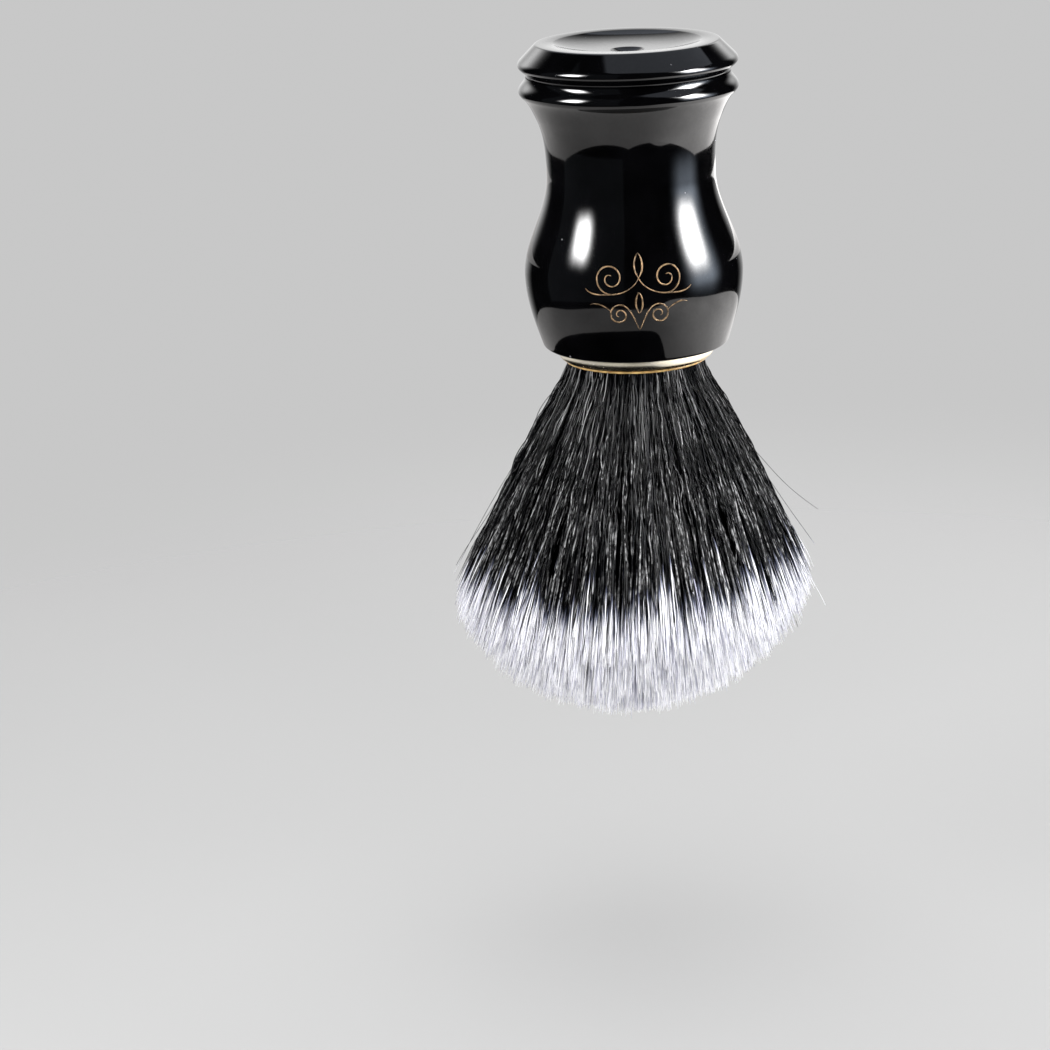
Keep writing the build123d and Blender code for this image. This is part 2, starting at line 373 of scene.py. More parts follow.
def filament_material():
    """Dyed, crimped filament that ends white, coloured by its UV alone.

    Glints are painted highlights on crimps, in stretches along the bright columns' filaments.
    """
    mat, shader, add, link = material("dyed_filament")
    uv = add("SeparateXYZ", {0: add("UVMap", uv_map="OFBake").outputs["UV"]})
    column = add("Math", {0: uv.outputs["X"], 1: float(SHADE_COLUMNS)}, operation="MULTIPLY")
    number = add("Math", {0: column.outputs[0]}, operation="FLOOR").outputs[0]
    shade = add("TexWhiteNoise", {"W": number}, noise_dimensions="1D").outputs["Value"]
    along = uv.outputs["Y"]
    row = add("Math", {0: number, 1: COLUMN_GAP}, operation="MULTIPLY").outputs[0]
    spot = add("CombineXYZ", {0: row, 1: along}).outputs[0]
    scaled = add("Mapping", {"Vector": spot, "Scale": (1, V_SPAN / CRIMP_LENGTH, 1)}).outputs[0]
    crimp, stretch = (add("TexNoise", {"Vector": scaled, "Scale": size, "Detail": 2.0},
                          noise_dimensions="2D").outputs["Fac"]
                      for size in (1.0, CRIMP_LENGTH / GLINT_LENGTH))
    dark = ramp(add, shade, (0.0, (0.0004, 0.0004, 0.0006)), (0.8, (0.0015, 0.0015, 0.002)),
                (1.0, (0.022, 0.022, 0.025)))
    outer = add("Math", {0: number, 1: BRIGHT_COLUMNS - 0.5}, operation="LESS_THAN").outputs[0]
    # Painted glints: pale grey colour in stretches along the bright columns' filaments, standing
    # in for highlights of light on their crimps
    lit = add("Math", {0: ramp(add, stretch, (0.53, 0.0), (0.62, 1.0)), 1: outer},
              operation="MULTIPLY").outputs[0]
    glint = add("Math", {0: ramp(add, crimp, (0.40, 0.08), (0.66, 1.0)), 1: lit},
                operation="MULTIPLY").outputs[0]
    crimped = add("MixRGB", {"Fac": glint, "Color1": dark, "Color2": (0.31, 0.31, 0.315, 1)})
    # Tip tones differ at random by column; the darkest, bluish grey ones are partly painted shade,
    # standing in for shadowed gaps between the white tips
    white = ramp(add, shade, (0.0, (0.30, 0.30, 0.38)), (0.20, (0.76, 0.76, 0.86)),
                 (0.4, (0.94, 0.94, 0.97)), (1.0, (0.96, 0.96, 0.98)))
    slate, pale = (ramp(add, along, (V_EDGE - end / V_SPAN, 1.0), (V_EDGE - start / V_SPAN, 0.0))
                   for start, end in (SLATE_ZONE, PALE_ZONE))
    bluish = add("MixRGB", {"Fac": slate, "Color1": crimped.outputs[0],
                            "Color2": (0.10, 0.11, 0.17, 1)})
    tipped = add("MixRGB", {"Fac": pale, "Color1": bluish.outputs[0], "Color2": white})
    link(tipped.outputs[0], "Base Color")
    shader.inputs["Roughness"].default_value = 0.14
    shader.inputs["Specular IOR Level"].default_value = 0.12
    return mat


def flourish_material():
    """Worn gold print."""
    mat, shader, add, link = material("gold_print")
    place = add("TexCoord").outputs["Object"]
    wear = add("TexNoise", {"Vector": place, "Scale": 1500.0, "Detail": 4.0}).outputs["Fac"]
    link(ramp(add, wear, (0.35, (0.045, 0.028, 0.014)), (0.62, (0.28, 0.18, 0.095))), "Base Color")
    rough = add("MapRange", {"Value": wear, "To Min": 0.35, "To Max": 0.6})
    link(rough.outputs[0], "Roughness")
    shader.inputs["Metallic"].default_value = 0.25
    return mat


# ---------------------------------------------------------------- handle

def handle_body(mat):
    """The handle from its mouth to the seam in the groove between the beads."""
    low_lip, high = SEAM_HEIGHT - SEAM_GAP / 2, SEAM_HEIGHT
    inside = (
        (SEAM_INNER, low_lip), (SEAM_INNER, high), (COUNTERBORE, high),
        (COUNTERBORE, COUNTERBORE_FLOOR), (WEIGHT_BORE, COUNTERBORE_FLOOR),
        (WEIGHT_BORE, WEIGHT_FLOOR), (0, WEIGHT_FLOOR), (0, SOCKET_DEPTH),
        (SOCKET, SOCKET_DEPTH), (SOCKET, SLEEVE_HEIGHT), (SLEEVE, SLEEVE_HEIGHT), (SLEEVE, 0),
    )
    piece = turned(
        "handle_body_polished",
        hermite(MOUTH_INNER, MOUTH_OUTER, OUT, MOUTH_RISE, 10),
        hermite(MOUTH_OUTER, BULB, MOUTH_RISE, UP, 36),
        hermite(BULB, WAIST, UP, UP, 48),
        hermite(WAIST, NECK, UP, NECK_RISE, 32),
        hermite(NECK, FLARE, NECK_RISE, FLARE_RISE, 20),
        hermite(FLARE, LOWER_BEAD, FLARE_RISE, UP, 16),
        hermite(LOWER_BEAD, (GROOVE, low_lip), UP, UP, 28),
        inside,
    )
    return dressed(piece, mat, "handle_resin", "handle_body")


def end_cap(mat):
    """The cap: upper bead, shoulder, flat ring, dish with its dimple, and the spigot."""
    high_lip, floor_height = SEAM_HEIGHT + SEAM_GAP / 2, HANDLE_LENGTH - DISH_DEPTH
    soft = LAND_ROUNDING
    inside = (
        (0, COUNTERBORE_FLOOR), (SPIGOT, COUNTERBORE_FLOOR), (SPIGOT, SEAM_HEIGHT),
        (SEAM_INNER, SEAM_HEIGHT), (SEAM_INNER, high_lip),
    )
    piece = turned(
        "end_cap_polished",
        hermite((GROOVE, high_lip), UPPER_BEAD, UP, UP, 28),
        hermite(UPPER_BEAD, SHOULDER, UP, (-1, 1), 16),
        hermite((LAND_OUTER + 0.7 * soft, HANDLE_LENGTH - 0.7 * soft),
                (LAND_OUTER - soft, HANDLE_LENGTH), (-1, 1), IN, 8),
        hermite((LAND_INNER, HANDLE_LENGTH), (DIMPLE_RADIUS, floor_height),
                (-1, -0.42), (-1, -0.02), 40),
        hermite((DIMPLE_RADIUS, floor_height), (0, floor_height - DIMPLE_DEPTH),
                (-1, -0.7), IN, 20),
        inside,
    )
    return dressed(piece, mat, "handle_resin", "end_cap")


def dressed(piece, mat, slot, *nodes):
    """Gives a piece its material and its body, and hides the CAD nodes it stands for; slot is not
    used.
    """
    piece.data.materials.append(mat)
    if nodes:
        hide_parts(*nodes)
    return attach(piece, BODY)


# ---------------------------------------------------------------- knot

class Fan:
    """The knot's form: how wide it is at a height, and where the filaments end.

    The flank goes on straight at both ends, inside the mouth and past the widest point.
    """

    def __init__(self):
        upper = hermite(ROOT, FAN_NECK, ROOT_SLOPE, NECK_SLOPE)
        lower = hermite(FAN_NECK, FAN_WIDEST, NECK_SLOPE, WIDEST_SLOPE)
        drop = FAN_WIDEST[1] - DOME_TIP[1]
        beyond = (FAN_WIDEST[0] - drop * WIDEST_SLOPE[0] / WIDEST_SLOPE[1], DOME_TIP[1])
        inside = (ROOT[0] - 0.2, 3.0)
        self.flank = np.vstack([[inside], upper, lower[1:], [beyond]])[::-1]
        side = hermite(FAN_WIDEST, DOME_SHOULDER, DOME_SIDE, DOME_SLOPE)
        under = hermite(DOME_SHOULDER, DOME_TIP, DOME_SLOPE, (-1, 0))
        dome = np.vstack([side, under[1:]])
        share = dome[:, 0] / self.width(dome[:, 1])
        self.dome_share, self.dome_height = share[::-1], dome[::-1, 1]

    def width(self, height):
        """Radius of the fan's flank at a height."""
        return np.interp(height, self.flank[:, 1], self.flank[:, 0])

    def end(self, share):
        """Height at which a filament at that share of the radius is trimmed."""
        return np.interp(share, self.dome_share, self.dome_height)


def strand_layout(rng, count):
    """Where each filament stands in the knot: share of the radius, and angle round it."""
    order = np.arange(count)
    share = np.sqrt((order + 0.5) / count)
    angle = order * math.pi * (3 - math.sqrt(5))
    share = share + rng.normal(0, SHARE_JITTER / math.sqrt(count), count)
    return np.clip(share, 0.002, 1.0), angle + rng.normal(0, ANGLE_JITTER, count)


def groups_of(rng, point, count):
    """Gathers the filaments round random centres: each one's centre and its number."""
    radius = np.sqrt(rng.uniform(0, 1, count))
    turn = rng.uniform(0, 2 * math.pi, count)
    centre = np.stack([radius * np.cos(turn), radius * np.sin(turn)], 1)
    parts = np.array_split(point, 16)
    gaps = (((part[:, None] - centre[None]) ** 2).sum(2) for part in parts)
    nearest = np.concatenate([gap.argmin(1) for gap in gaps])
    return centre[nearest], nearest


def strand_paths(rng, fan, share, angle, rings, kink_size):
    """Centre line of every filament, (strand, ring, xyz), and its lock's and tuft's numbers."""
    count = len(share)
    t = np.linspace(0, 1, rings)[None]
    point = np.stack([share * np.cos(angle), share * np.sin(angle)], 1)
    tuft_centre, tuft = groups_of(rng, point, TUFTS)
    lock_centre, lock = groups_of(rng, point, LOCKS)
    astray = np.linalg.norm(point - tuft_centre, axis=1) * FAN_WIDEST[0]
    ragged = rng.normal(0, RAGGED, count) + rng.normal(0, TUFT_RAGGED, TUFTS)[tuft]
    ragged = ragged + SPLAYED_SHORTER * astray
    bottom = fan.end(share) + TRIM_LIFT + np.clip(ragged, *RAGGED_LIMITS)
    bottom = bottom + TRIM_TILT * point[:, 0] * FAN_WIDEST[0]
    height = ROOT_TOP + (bottom[:, None] - ROOT_TOP) * t
    tight = LOCK_PULL * rng.uniform(0, 1, (LOCKS, 1))[lock]
    open_tips = 1 - LOCK_OPENING * np.clip((t - LOCK_OPENS) / (1 - LOCK_OPENS), 0, 1)
    locked = (tight * open_tips * np.sin(0.5 * math.pi * np.clip(2.2 * t, 0, 1)) ** 2)[..., None]
    tufted = (TUFT_PULL * t ** 3)[..., None] * rng.uniform(*TUFT_HOLD, (count, 1, 1))
    flat = point[:, None] * (1 - locked) + lock_centre[:, None] * locked
    flat = flat * (1 - tufted) + tuft_centre[:, None] * tufted
    flat = flat * fan.width(height)[..., None]
    flat = flat + loose_bends(rng, t, lock, ROOT_TOP - height, kink_size)
    flat[..., 0] -= FAN_LEAN * np.clip(height / DOME_TIP[1], 0, 1)
    return np.concatenate([flat, height[..., None]], 2), lock, tuft


def loose_bends(rng, t, lock, depth, kink_size):
    """Sideways bends of every filament: its lock's sway, its own sway and waves, its kinks."""
    count, rings = len(lock), t.shape[1]
    sway = rng.normal(0, LOCK_SWAY, (LOCKS, 1, 2))[lock] + rng.normal(0, OWN_SWAY, (count, 1, 2))
    sway = sway * np.sin(1.4 * math.pi * t)[..., None]
    phase = rng.uniform(0, 2 * math.pi, (count, 1, 2))
    pace = rng.uniform(3, 8, (count, 1, 2))
    wave = rng.normal(0, WAVE, (count, 1, 2)) * np.sin(2 * math.pi * pace * t[..., None] + phase)
    # Each ring shares its kink with its neighbours, so that none is sharp
    kink = rng.normal(0, kink_size, (count, rings + 2, 2))
    kink = 0.3 * kink[:, :-2] + 0.6 * kink[:, 1:-1] + 0.3 * kink[:, 2:]
    crimped = 1 - STRAIGHTER_TIPS * np.clip((t[..., None] - 0.5) / 0.25, 0, 1)
    sway_free, kink_free = (np.clip(depth / full, 0, 1)[..., None]
                            for full in (SWAY_DEPTH, KINK_DEPTH))
    return sway_free * (sway + crimped * wave) + kink_free * crimped * kink


def strand_mesh(name, path, radius, uv):
    """Three-sided tubes along the paths, closed at both ends, as one mesh."""
    count, rings = path.shape[:2]
    way = np.gradient(path, axis=1)
    way /= np.linalg.norm(way, axis=2, keepdims=True)
    round_axis = np.stack([-path[:, -1:, 1], path[:, -1:, 0], path[:, -1:, 2] * 0], 2)
    across = np.cross(np.cross(way, round_axis), way)
    across /= np.linalg.norm(across, axis=2, keepdims=True) + 1e-9
    out = np.cross(way, across)
    verts = np.empty((count, rings, 3, 3))
    for side in range(3):
        turn = 2 * math.pi * side / 3 + math.pi / 6
        offset = math.cos(turn) * across + math.sin(turn) * out
        verts[:, :, side] = path + radius[..., None] * offset
    base = np.arange(count)[:, None, None] * rings * 3
    ring = np.arange(rings - 1)[None, :, None] * 3
    side = np.arange(3)[None, None]
    turn = (side + 1) % 3
    quads = np.stack([base + ring + side, base + ring + turn,
                      base + ring + 3 + turn, base + ring + 3 + side], 3).reshape(-1, 4)
    start = np.arange(count) * rings * 3
    end = start + (rings - 1) * 3
    caps = np.concatenate([start[:, None] + [0, 2, 1], end[:, None] + [0, 1, 2]])
    return mesh_with_uv(name, verts.reshape(-1, 3), quads, caps, uv, rings)


def mesh_with_uv(name, verts, quads, caps, uv, rings):
    """Smooth mesh of quads and end triangles, with the shade column and length as its UV."""
    mesh = bpy.data.meshes.new(name)
    loops = np.concatenate([quads.ravel(), caps.ravel()])
    starts = np.concatenate([np.arange(len(quads)) * 4, len(quads) * 4 + np.arange(len(caps)) * 3])
    mesh.vertices.add(len(verts))
    mesh.vertices.foreach_set("co", (verts * MM).astype(np.float32).ravel())
    mesh.loops.add(len(loops))
    mesh.loops.foreach_set("vertex_index", loops.astype(np.int32))
    mesh.polygons.add(len(starts))
    mesh.polygons.foreach_set("loop_start", starts.astype(np.int32))
    mesh.polygons.foreach_set("use_smooth", np.ones(len(starts), bool))
    mesh.update(calc_edges=True)
    column, along = uv
    strand = loops // (rings * 3)
    near, far = COLUMN_INSET, 1 - COLUMN_INSET
    corner = np.concatenate([np.tile([near, far, far, near], len(quads)),
                             np.tile([near, far, 0.5], len(caps))])
    u = (column[strand] + corner) / SHADE_COLUMNS
    v = along.ravel()[loops // 3]
    layer = mesh.uv_layers.new(name="OFBake")
    layer.data.foreach_set("uv", np.stack([u, v], 1).astype(np.float32).ravel())
    piece = bpy.data.objects.new(name, mesh)
    bpy.context.scene.collection.objects.link(piece)
    return piece


def colour_along(rng, share, path, lock, tuft):
    """V of every ring: V_EDGE where the dye ends, falling towards the tip."""
    count = len(share)
    edge = COLOUR_EDGE_AXIS + (COLOUR_EDGE_FLANK - COLOUR_EDGE_AXIS) * share ** 1.3
    edge = edge + TRIM_TILT * path[:, -1, 0] + rng.normal(0, DYE_BY_LOCK, LOCKS)[lock]
    edge = edge + rng.normal(0, DYE_BY_FILAMENT, count) + rng.normal(0, DYE_BY_TUFT, TUFTS)[tuft]
    streak = rng.uniform(0, 1, count)
    edge = edge - np.where(streak < DYED_FURTHER, rng.exponential(FURTHER_LENGTH, count), 0)
    shorter = np.minimum(rng.exponential(LESS_LENGTH, count), LESS_LIMIT)
    edge = edge + np.where(streak > 1 - DYED_LESS, shorter, 0)
    return np.clip(V_EDGE + (path[..., 2] - edge[:, None]) / V_SPAN, 0.01, 0.99)


def taper(path, radius):
    """Radius of a filament at each ring."""
    left = np.linalg.norm(path - path[:, -1:], axis=2)
    slim = 1 - SLIMMER * np.clip((left - SLIM_START) / SLIM_LENGTH, 0, 1)
    return radius * slim * np.clip(TIP_SHARE + left / TAPER_LENGTH, 0, 1)


def bristles(mat):
    """All the filaments of the knot, in pieces that are small enough to store.
    """
    rng = np.random.default_rng(7)
    fan = Fan()
    thin_out = 1
    share, angle = strand_layout(rng, FILAMENT_COUNT // thin_out)
    outside = share >= OUTER_SHARE
    for label, chosen, group in (("outer", outside, OUTER), ("inner", ~outside, INNER)):
        s, a = share[chosen], angle[chosen]
        path, lock, tuft = strand_paths(rng, fan, s, a, group["rings"], group["kink"])
        along = colour_along(rng, s, path, lock, tuft)
        column = rng.integers(*group["columns"], len(s))
        radius = group["radius"] * math.sqrt(thin_out)
        thick = taper(path, radius * rng.uniform(*THICKNESS_SPREAD, (len(s), 1)))
        by_angle = np.argsort(np.arctan2(path[:, -1, 1], path[:, -1, 0]))
        for number, first in enumerate(range(0, len(s), group["batch"])):
            pick = by_angle[first:first + group["batch"]]
            piece = strand_mesh(f"bristles_{label}_{number + 1:02d}", path[pick], thick[pick],
                                (column[pick], along[pick]))
            dressed(piece, mat, "bristle_black")
    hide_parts("bristle_shafts", "bristle_tips")


def stray_hairs(mat):
    """A few single filaments that stand away from the flank."""
    rng = np.random.default_rng(23)
    fan, rings = Fan(), 40
    t = np.linspace(0, 1, rings)
    paths = []
    for azimuth, leaves, astray, ends in STRAY_HAIRS:
        height = STRAY_TOP + (ends - STRAY_TOP) * t
        away = np.clip((leaves - height) / (leaves - ends), 0, 1) ** rng.uniform(1.1, 1.9)
        reach = fan.width(height) * 0.985 + astray * away
        wave = 0.035 * rng.normal() * np.sin(2 * math.pi * rng.uniform(1, 2) * t)
        reach = reach + 0.35 * rng.normal() * np.sin(2 * math.pi * rng.uniform(1, 1.8) * t) * away
        turn = FRONT + math.radians(azimuth) + 0.05 * rng.normal() * away + wave
        x = reach * np.cos(turn) - FAN_LEAN * height / DOME_TIP[1]
        paths.append(np.stack([x, reach * np.sin(turn), height], 1))
    path = np.array(paths)
    thick = np.broadcast_to(STRAY_RADIUS * (1 - 0.5 * t), path.shape[:2])
    column = rng.integers(0, SHADE_COLUMNS, len(path))
    along = V_EDGE + (path[..., 2] - COLOUR_EDGE_FLANK) / V_SPAN
    return dressed(strand_mesh("stray_hairs", path, thick, (column, along)), mat, "bristle_black")


# ---------------------------------------------------------------- glue and print

def squeezed_glue(mat):
    """Uneven bead of adhesive, taller than wide, that came out round the bristles."""
    turns, sides = 240, 8
    rng = np.random.default_rng(11)
    angle = np.arange(turns) / turns * 2 * math.pi
    size = np.full(turns, GLUE_SIZE)
    for wave in range(2, 26):
        phase = rng.uniform(0, 2 * math.pi)
        swell = np.sin(wave * angle + phase) * rng.uniform(0.3, 1)
        size += GLUE_UNEVEN / math.sqrt(wave) * swell
    size = np.clip(size, *GLUE_SIZE_LIMITS)
    verts = []
    for turn, half in zip(angle, size):
        for side in range(sides):
            way = 2 * math.pi * side / sides
            r, z = GLUE_RADIUS + 0.75 * half * math.cos(way), GLUE_HEIGHT + half * math.sin(way)
            verts.append((r * math.cos(turn), r * math.sin(turn), z))
    faces = net(turns, sides, loop=True)
    return dressed(new_mesh("squeezed_glue", verts, faces), mat, "adhesive")


def on_handle(spots, lift):
    """Points on the handle's front from (across, height) in millimetres, lifted off it."""
    profile = np.vstack([hermite(MOUTH_OUTER, BULB, MOUTH_RISE, UP),
                         hermite(BULB, WAIST, UP, UP)[1:]])
    height = spots[:, 1]
    radius = np.interp(height, profile[:, 1], profile[:, 0])
    slope = np.interp(height, profile[:, 1], np.gradient(profile[:, 0], profile[:, 1]))
    tilt = np.arctan(slope)
    turn = FRONT + spots[:, 0] / radius
    away = radius + lift * np.cos(tilt)
    return np.stack([away * np.cos(turn), away * np.sin(turn), height - lift * np.sin(tilt)], 1)


def ribbon(path, width):
    """Thin raised stroke along a path on the handle, half sunk in it: its points and faces."""
    way = np.gradient(path, axis=0)
    way /= np.linalg.norm(way, axis=1, keepdims=True)
    across = np.stack([-way[:, 1], way[:, 0]], 1) * width[:, None] / 2
    rails = (on_handle(path + across, 0), on_handle(path, PRINT_THICKNESS),
             on_handle(path - across, 0), on_handle(path, -PRINT_THICKNESS))
    verts = np.stack(rails, 1).reshape(-1, 3)
    last = 4 * (len(path) - 1)
    faces = [(i + j, i + (j + 1) % 4, i + 4 + (j + 1) % 4, i + 4 + j)
             for i in range(0, last, 4) for j in range(4)]
    return verts, faces + [(3, 2, 1, 0), (last, last + 1, last + 2, last + 3)]


def scroll(centre, radius, start, turns):
    """Spiral stroke that winds inwards; turns is negative for a clockwise one."""
    t = np.linspace(0, 1, 60)
    angle = math.radians(start) + 2 * math.pi * turns * t
    reach = radius * (1 - 0.86 * t) ** 0.9
    return np.stack([centre[0] + reach * np.cos(angle), centre[1] + reach * np.sin(angle)], 1)


def flourish_strokes():
    """Right half of a plain scroll ornament, as paths round its own centre."""
    return (
        np.vstack([hermite((0, 2.6), (4.3, 0.1), (0.35, -1), OUT)[:-1],
                   scroll((4.3, 2.5), 2.4, -90, 1.55)]),
        np.vstack([hermite((0, -5.6), (3.0, -1.5), (0.5, 1), OUT)[:-1],
                   scroll((3.0, -3.1), 1.6, 90, -1.45)]),
        hermite((3.6, 0.1), (8.3, 0.9), OUT, (0.8, 1)),
        hermite((4.4, -2.5), (7.6, -1.6), (0.9, 0.9), (0.7, -0.4)),
        hermite((0, 6.2), (0, 2.6), (0.9, -1), (-0.9, -1)),
        hermite((0, 0.4), (0, -2.9), (0.8, -1), (-0.8, -1)),
    )


def flourish(mat):
    """Gold ornament printed on the front of the bulb."""
    verts, faces = np.empty((0, 3)), []
    for stroke in flourish_strokes():
        share = np.linspace(0, 1, len(stroke))
        width = PRINT_WIDTH * (0.45 + np.sin(math.pi * share) ** 0.7)
        for side in (1, -1):
            path = stroke * (side, 1) + (0, PRINT_HEIGHT)
            more, sides = ribbon(path, width)
            faces += [tuple(len(verts) + k for k in (f if side > 0 else f[::-1])) for f in sides]
            verts = np.vstack([verts, more])
    return dressed(new_mesh("printed_flourish", verts, faces), mat, "collar_metal")


# ---------------------------------------------------------------- stage, lights, camera

def floor():
    """Pale floor that fades into the pale background, and is clear from below."""
    rings, turns = 12, 96
    verts = [(0, 0, FLOOR_HEIGHT)]
    for i in range(1, rings + 1):
        verts += circle(FLOOR_RADIUS * i / rings, FLOOR_HEIGHT, turns)
    middle = [(0, 1 + j, 1 + (j + 1) % turns) for j in range(turns)]
    piece = new_mesh("floor", verts, middle + net(rings, turns, first=1))
    mat, shader, add, link = material("pale_floor")
    place = add("TexCoord").outputs["Object"]
    soft = add("TexNoise", {"Vector": place, "Scale": 3.0}).outputs["Fac"]
    link(ramp(add, soft, (0.3, 0.31), (0.7, 0.34)), "Base Color")
    distance = add("VectorMath", {0: place}, operation="LENGTH").outputs["Value"]
    fade = add("MapRange", {"Value": distance, "From Min": FLOOR_FADE[0],
                            "From Max": FLOOR_FADE[1], "To Min": 1.0, "To Max": 0.0},
               interpolation_type="SMOOTHERSTEP")
    below = add("NewGeometry").outputs["Backfacing"]
    alpha = add("MixRGB", {"Fac": below, "Color1": fade.outputs[0], "Color2": (0, 0, 0, 1)})
    link(alpha.outputs[0], "Alpha")
    shader.inputs["Roughness"].default_value = 0.7
    shader.inputs["Specular IOR Level"].default_value = 0.0
    piece.data.materials.append(mat)
    piece.visible_glossy = False


def background():
    """Pale behind the brush; in gloss, bright behind it, less so below, and dark in front."""
    world = bpy.data.worlds.new("studio")
    bpy.context.scene.world = world
    world.use_nodes = True
    tree = world.node_tree
    tree.nodes.clear()
    seen, fill, gloss = (tree.nodes.new("ShaderNodeBackground") for _ in range(3))
    seen.inputs["Strength"].default_value = BACKDROP_BRIGHTNESS
    fill.inputs["Strength"].default_value = FILL_BRIGHTNESS
    way = tree.nodes.new("ShaderNodeTexCoord")
    split = tree.nodes.new("ShaderNodeSeparateXYZ")
    tree.links.new(way.outputs["Generated"], split.inputs[0])
    product = tree.nodes.new("ShaderNodeMath")
    product.operation = "MULTIPLY"
    for slot, (axis, limits) in enumerate((("Y", GLOSS_BEHIND), ("Z", GLOSS_BELOW))):
        step = tree.nodes.new("ShaderNodeMapRange")
        step.interpolation_type = "SMOOTHSTEP"
        for name, value in zip(("From Min", "From Max", "To Min", "To Max"), limits):
            step.inputs[name].default_value = value
        tree.links.new(split.outputs[axis], step.inputs["Value"])
        tree.links.new(step.outputs[0], product.inputs[slot])
    tree.links.new(product.outputs[0], gloss.inputs["Strength"])
    ray = tree.nodes.new("ShaderNodeLightPath")
    for_gloss, for_camera = (tree.nodes.new("ShaderNodeMixShader") for _ in range(2))
    tree.links.new(ray.outputs["Is Glossy Ray"], for_gloss.inputs["Fac"])
    tree.links.new(fill.outputs[0], for_gloss.inputs[1])
    tree.links.new(gloss.outputs[0], for_gloss.inputs[2])
    tree.links.new(ray.outputs["Is Camera Ray"], for_camera.inputs["Fac"])
    tree.links.new(for_gloss.outputs[0], for_camera.inputs[1])
    tree.links.new(seen.outputs[0], for_camera.inputs[2])
    output = tree.nodes.new("ShaderNodeOutputWorld")
    tree.links.new(for_camera.outputs[0], output.inputs["Surface"])


def direction(azimuth, elevation):
    """Unit vector towards an azimuth, to the right of the front, and an elevation."""
    a, e = math.radians(azimuth), math.radians(elevation)
    return Vector((math.sin(a) * math.cos(e), -math.cos(a) * math.cos(e), math.sin(e)))


def softbox(name, azimuth, elevation, size, radiance):
    """Area light for diffuse light only; size is its width and height in metres."""
    lamp = bpy.data.lights.new(name, "AREA")
    lamp.shape = "RECTANGLE"
    lamp.size, lamp.size_y = size
    lamp.energy = radiance * math.pi * size[0] * size[1]
    light = bpy.data.objects.new(name, lamp)
    light.location = direction(azimuth, elevation) * LIGHT_DISTANCE
    light.rotation_euler = direction(azimuth, elevation).to_track_quat("Z", "Y").to_euler()
    light.visible_camera = False
    light.visible_glossy = False
    bpy.context.scene.collection.objects.link(light)


def pane(*corners):
    """Flat card between four (azimuth, elevation) corners: a function of its u and v."""
    spot = [direction(*corner) for corner in corners]

    def at(u, v):
        return spot[0].lerp(spot[1], u).lerp(spot[3].lerp(spot[2], u), v)

    return at


def patch(azimuths, elevations, far=1.0):
    """Card curved round the brush, even in azimuth and elevation: a function of its u and v."""
    (left, right), (low, high) = azimuths, elevations

    def at(u, v):
        return direction(left + (right - left) * u, low + (high - low) * v) * far

    return at


def glow(name, at, radiance, colour=(1, 1, 1), soft=0.5, power=1.0):
    """Card, seen in gloss only, that glows brightest in its middle.

    at gives the direction of the point at its u and v, soft is the share of the card that
    fades out towards each edge, and a higher power makes it fade faster.
    """
    steps = 16
    spots = [(j / steps, i / steps) for i in range(steps + 1) for j in range(steps + 1)]
    verts = [at(u, v) * (LIGHT_DISTANCE / MM) for u, v in spots]
    faces = []
    for i in range(steps):
        for j in range(steps):
            a = i * (steps + 1) + j
            faces.append((a, a + 1, a + steps + 2, a + steps + 1))
    card = new_mesh(name, verts, faces)
    layer = card.data.uv_layers.new(name="card")
    corners = [spots[loop.vertex_index] for loop in card.data.loops]
    layer.data.foreach_set("uv", np.array(corners, np.float32).ravel())
    card.data.materials.append(glow_material(name, radiance, colour, soft, power))
    gloss_only(card)


def glow_material(name, radiance, colour, soft, power):
    """Emission that fades to nothing towards the card's edges."""
    mat, _, add, _ = material(name)
    uv = add("SeparateXYZ", {0: add("UVMap", uv_map="card").outputs["UV"]})
    fades = []
    for axis in ("X", "Y"):
        middle = add("Math", {0: uv.outputs[axis], 1: 0.5}, operation="SUBTRACT").outputs[0]
        away = add("Math", {0: middle}, operation="ABSOLUTE").outputs[0]
        fades.append(add("MapRange", {"Value": away, "From Min": 0.5, "From Max": 0.5 - soft},
                         interpolation_type="SMOOTHSTEP").outputs[0])
    edge = add("Math", {0: fades[0], 1: fades[1]}, operation="MULTIPLY").outputs[0]
    both = add("Math", {0: edge, 1: power}, operation="POWER").outputs[0]
    strength = add("Math", {0: both, 1: radiance}, operation="MULTIPLY").outputs[0]
    light = add("Emission", {"Color": (*colour, 1), "Strength": strength})
    clear = add("BsdfTransparent")
    shown = add("MixShader", {"Fac": both, 1: clear.outputs[0], 2: light.outputs[0]})
    output = mat.node_tree.nodes["Material Output"]
    mat.node_tree.links.new(shown.outputs[0], output.inputs["Surface"])
    return mat


